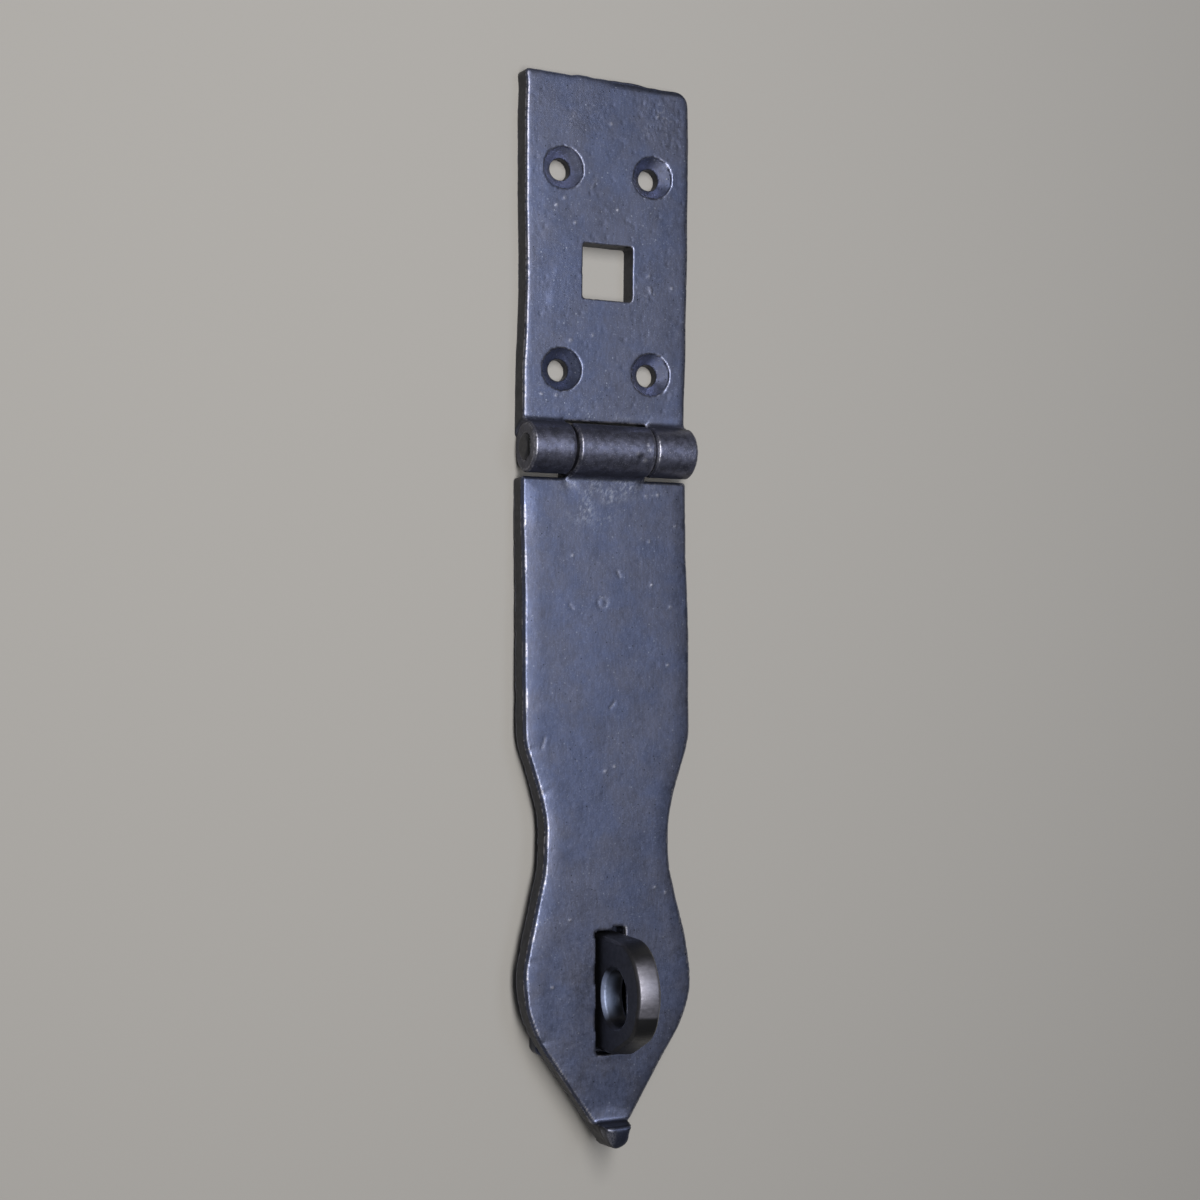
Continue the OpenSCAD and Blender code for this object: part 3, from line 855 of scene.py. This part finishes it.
def crown_eye(mesh):
    """Rounds the eye's rim over towards the left, and marks its ground part, the painted light in its bore, the
    painted glint at its mouth, and its plate.
    """
    centre = np.array(EYE["pos_m"])
    bore = EYE["dims"]["r_mm"]
    co, normal = vertex_values(mesh, "co"), vertex_values(mesh, "normal")
    q = (co - centre) / MM
    out = np.hypot(q[:, 1], q[:, 2])
    above = smoothstep(-0.75, -0.55, q[:, 2] / centre[2] * MM)
    outer = smoothstep(1.25 * bore, 1.75 * bore, out) * above
    drop = EYE_CROWN * (q[:, 0] - EYE_CREST) ** 2 * outer
    q[:, 1:] -= q[:, 1:] / out[:, None] * drop[:, None]
    put_places(mesh, q * MM + centre)
    angle = np.degrees(np.arctan2(q[:, 1], q[:, 2]))
    reach = smoothstep(*GROUND_START, angle) * (1 - smoothstep(*GROUND_END, angle))
    ground = outer * reach * (1 - smoothstep(0.55, 0.8, np.abs(normal[:, 0])))
    inside = 1 - smoothstep(1.10 * bore, 1.16 * bore, out)
    inside *= smoothstep(0.95, 0.85, np.abs(normal[:, 0]))
    below = -q[:, 2] / out
    # Painted light on the bore's lower wall, fading inwards, and a painted glint at its left mouth.
    lit = inside * smoothstep(0.5, 0.95, below) * (1 - 0.95 * smoothstep(-1.2, 1.5, q[:, 0]))
    mouth = inside * smoothstep(0.55, 0.97, below) * smoothstep(-1.4, -2.2, q[:, 0])
    plate = 1 - smoothstep(0.28, 0.34, co[:, 2] / centre[2])
    return {"ground": ground, "bore": lit, "mouth": mouth, "plate": plate}


# Materials

def new_iron(name):
    """A material, its shader and its object coordinates in millimetres."""
    material = bpy.data.materials.new(name)
    material.use_nodes = True
    tree = material.node_tree
    shader = tree.nodes["Principled BSDF"]
    shader.inputs["Metallic"].default_value = 0.85
    shader.inputs["Coat Weight"].default_value = 0.12
    shader.inputs["Coat Roughness"].default_value = 0.3
    place = scaled(tree, add(tree, "ShaderNodeTexCoord").outputs["Object"], (1 / MM,) * 3)
    return material, tree, shader, place


def roughen(tree, shader, place, mottle, side, rough=0.0, soft=0.0, base=0.40, strength=0.45,
            distance=0.028):
    """Links roughness that varies with the mottle, and bumps of about a millimetre and finer."""
    roughness = math_node(tree, "MULTIPLY_ADD", mottle, 0.12, base - 0.06)
    roughness = math_node(tree, "MULTIPLY_ADD", side, 0.15, roughness)
    roughness = math_node(tree, "MULTIPLY_ADD", soft, 0.12, roughness)
    tree.links.new(roughness, shader.inputs["Roughness"])
    height = math_node(tree, "MULTIPLY_ADD", grain(tree, place, 0.8), 2.0, grain(tree, place, 0.3))
    height = times(tree, height, math_node(tree, "MULTIPLY_ADD", rough, 2.0, 1.0))
    bump = add(tree, "ShaderNodeBump", {}, Height=height)
    bump.inputs["Strength"].default_value = strength
    bump.inputs["Distance"].default_value = distance * MM
    tree.links.new(bump.outputs[0], shader.inputs["Normal"])


def mottling(tree, place):
    """Blotches of about a millimetre, from 0 to 1."""
    return ramp(tree, grain(tree, place, 1.1, detail=4.0), 0.3, 0.7)


def waxed_black(tree, place, mottle, fine, speckled):
    """The plates' colour: bluish and greyish clouds with blotches, streaks along them and specks."""
    grey = tuple(c * share for c, share in zip(IRON_BLUE, (1.13, 1.03, 0.89)))
    dark, light = (tuple(share * c for c in IRON_BLUE) for share in (0.55, 1.9))
    clouds = ramp(tree, grain(tree, place, 10), 0.36, 0.62)
    shade = ramp(tree, grain(tree, place, 4), 0.35, 0.65)
    streak = ramp(tree, grain(tree, scaled(tree, place, (1.0, 0.2, 1.0)), 0.45), 0.35, 0.7)
    colour = blend(tree, clouds, IRON_BLUE, grey)
    colour = blend(tree, times(tree, shade, 0.2), colour, dark)
    colour = blend(tree, times(tree, mottle, 0.22), colour, dark)
    colour = blend(tree, times(tree, streak, 0.18), colour, light)
    colour = blend(tree, times(tree, ramp(tree, fine, 0.58, 0.72), speckled), colour, SPARKLE)
    dark_specks = specks(tree, place, size=1.3, radius=0.2, share=0.3)
    colour = blend(tree, dark_specks, colour, DARK_SPECK)
    elsewhere = add(tree, "ShaderNodeVectorMath", {}, i0=place, i1=(7.3, 3.1, 0)).outputs[0]
    glitter = specks(tree, elsewhere, size=1.5, radius=0.22, share=0.4)
    return blend(tree, times(tree, glitter, speckled), colour, GLITTER)


def crest_colour(tree, place, fine):
    """The colour of the barrel, in pale and dark patches."""
    pale = ramp(tree, grain(tree, place, 1.6, detail=4.0), 0.3, 0.68)
    colour = blend(tree, pale, CREST_DARK, CREST_PALE)
    return blend(tree, times(tree, ramp(tree, fine, 0.57, 0.70), 0.6), colour, CREST_SPARKLE)


def scuff_hairs(tree, place):
    """Short slanting hairs in loose patches, from 0 to 1."""
    around_up = {"rotation_type": "Z_AXIS"}
    turned = add(tree, "ShaderNodeVectorRotate", around_up, Vector=place, Angle=0.6)
    slanting = scaled(tree, turned.outputs[0], (1, 0.4, 1))
    hairs = ramp(tree, grain(tree, slanting, 0.5, detail=4.0, roughness=0.75), 0.40, 0.72)
    return times(tree, hairs, ramp(tree, grain(tree, place, 1.8, roughness=0.7), 0.34, 0.56))


def plate_iron(name, speckled):
    """Blackened iron under wax: bluish, streaked and speckled, with sides darkened by soot and painted shade, bare
    rims, and painted light and shade in its tone and glints.
    """
    material, tree, shader, place = new_iron(name)
    side, barrel = attribute(tree, "side"), attribute(tree, "barrel")
    mottle = mottling(tree, place)
    fine = grain(tree, place, 0.33, roughness=0.65)
    # The tone carries painted light and shade, as well as pale patches.
    gain = math_node(tree, "POWER", 16.0, math_node(tree, "SUBTRACT", attribute(tree, "tone"), 0.5))
    colour = waxed_black(tree, place, mottle, fine, speckled)
    colour = scaled(tree, blend(tree, barrel, colour, crest_colour(tree, place, fine)), gain)
    scuffed = times(tree, attribute(tree, "scuff"), scuff_hairs(tree, place))
    colour = blend(tree, scuffed, colour, SCUFFED)
    # Bright marks: struck dots, scratches and ring, and painted glints and highlights.
    polished = times(tree, attribute(tree, "bright"), ramp(tree, fine, 0.32, 0.6))
    colour = blend(tree, polished, colour, POLISH_AND_GLINT)
    # Walls darkened, partly by soot and partly as painted shade.
    soot_and_shade = times(tree, side, math_node(tree, "MULTIPLY_ADD", barrel, -0.35, 0.92))
    colour = blend(tree, soot_and_shade, colour, SOOT_AND_SHADE)
    broken = ramp(tree, grain(tree, place, 0.9, roughness=0.7), 0.38, 0.56)
    colour = blend(tree, times(tree, attribute(tree, "rim"), broken), colour, BARE_RIM)
    tree.links.new(colour, shader.inputs["Base Color"])
    roughen(tree, shader, place, mottle, side, rough=attribute(tree, "rough"))
    return material


def cast_iron(name, black):
    """Blackened iron of a small piece, smooth and brownish where it is marked as ground, with painted light in the
    eye's bore and a painted glint at its mouth.
    """
    material, tree, shader, place = new_iron(name)
    side, ground, bore = (attribute(tree, mark) for mark in ("side", "ground", "bore"))
    mottle = mottling(tree, place)
    colour = blend(tree, attribute(tree, "plate"), black, IRON_BLUE)
    colour = blend(tree, times(tree, mottle, 0.4), colour, tuple(0.5 * c for c in black))
    # Walls darkened, partly their own black and partly as painted shade.
    colour = blend(tree, times(tree, side, 0.8), colour, SMALL_SIDE)
    streak = ramp(tree, grain(tree, scaled(tree, place, (0.3, 1.0, 1.0)), 0.5), 0.3, 0.7)
    polished = blend(tree, streak, GROUND, tuple(0.88 * c for c in GROUND))
    colour = blend(tree, ground, colour, polished)
    colour = blend(tree, bore, colour, PAINTED_BORE_LIGHT)
    colour = blend(tree, attribute(tree, "mouth"), colour, PAINTED_MOUTH_GLINT)
    broken = ramp(tree, grain(tree, place, 0.9, roughness=0.7), 0.42, 0.58)
    bare = times(tree, times(tree, attribute(tree, "rim"), broken), 0.12)
    colour = blend(tree, bare, colour, SMALL_RIM)
    tree.links.new(colour, shader.inputs["Base Color"])
    soft = math_node(tree, "MAXIMUM", ground, times(tree, bore, 2.0))
    roughen(tree, shader, place, mottle, side, soft=soft, base=0.36, strength=0.35, distance=0.02)
    return material


make_camera()
make_floor()
make_light()
make_plate("fixed_leaf", "mounted", LEAF_QUAD, plate_iron("leaf_iron", 0.6),
           leaf_shape)
make_plate("hasp_strap", "strap", STRAP_QUAD, plate_iron("strap_iron", 0.4),
           strap_shape)
make_casting("staple", "mounted", SMALL_QUAD, cast_iron("staple_iron", STAPLE_BLACK),
             crown_eye)
make_casting("hinge_pin", "mounted", SMALL_QUAD, cast_iron("pin_iron", PIN_BLACK))
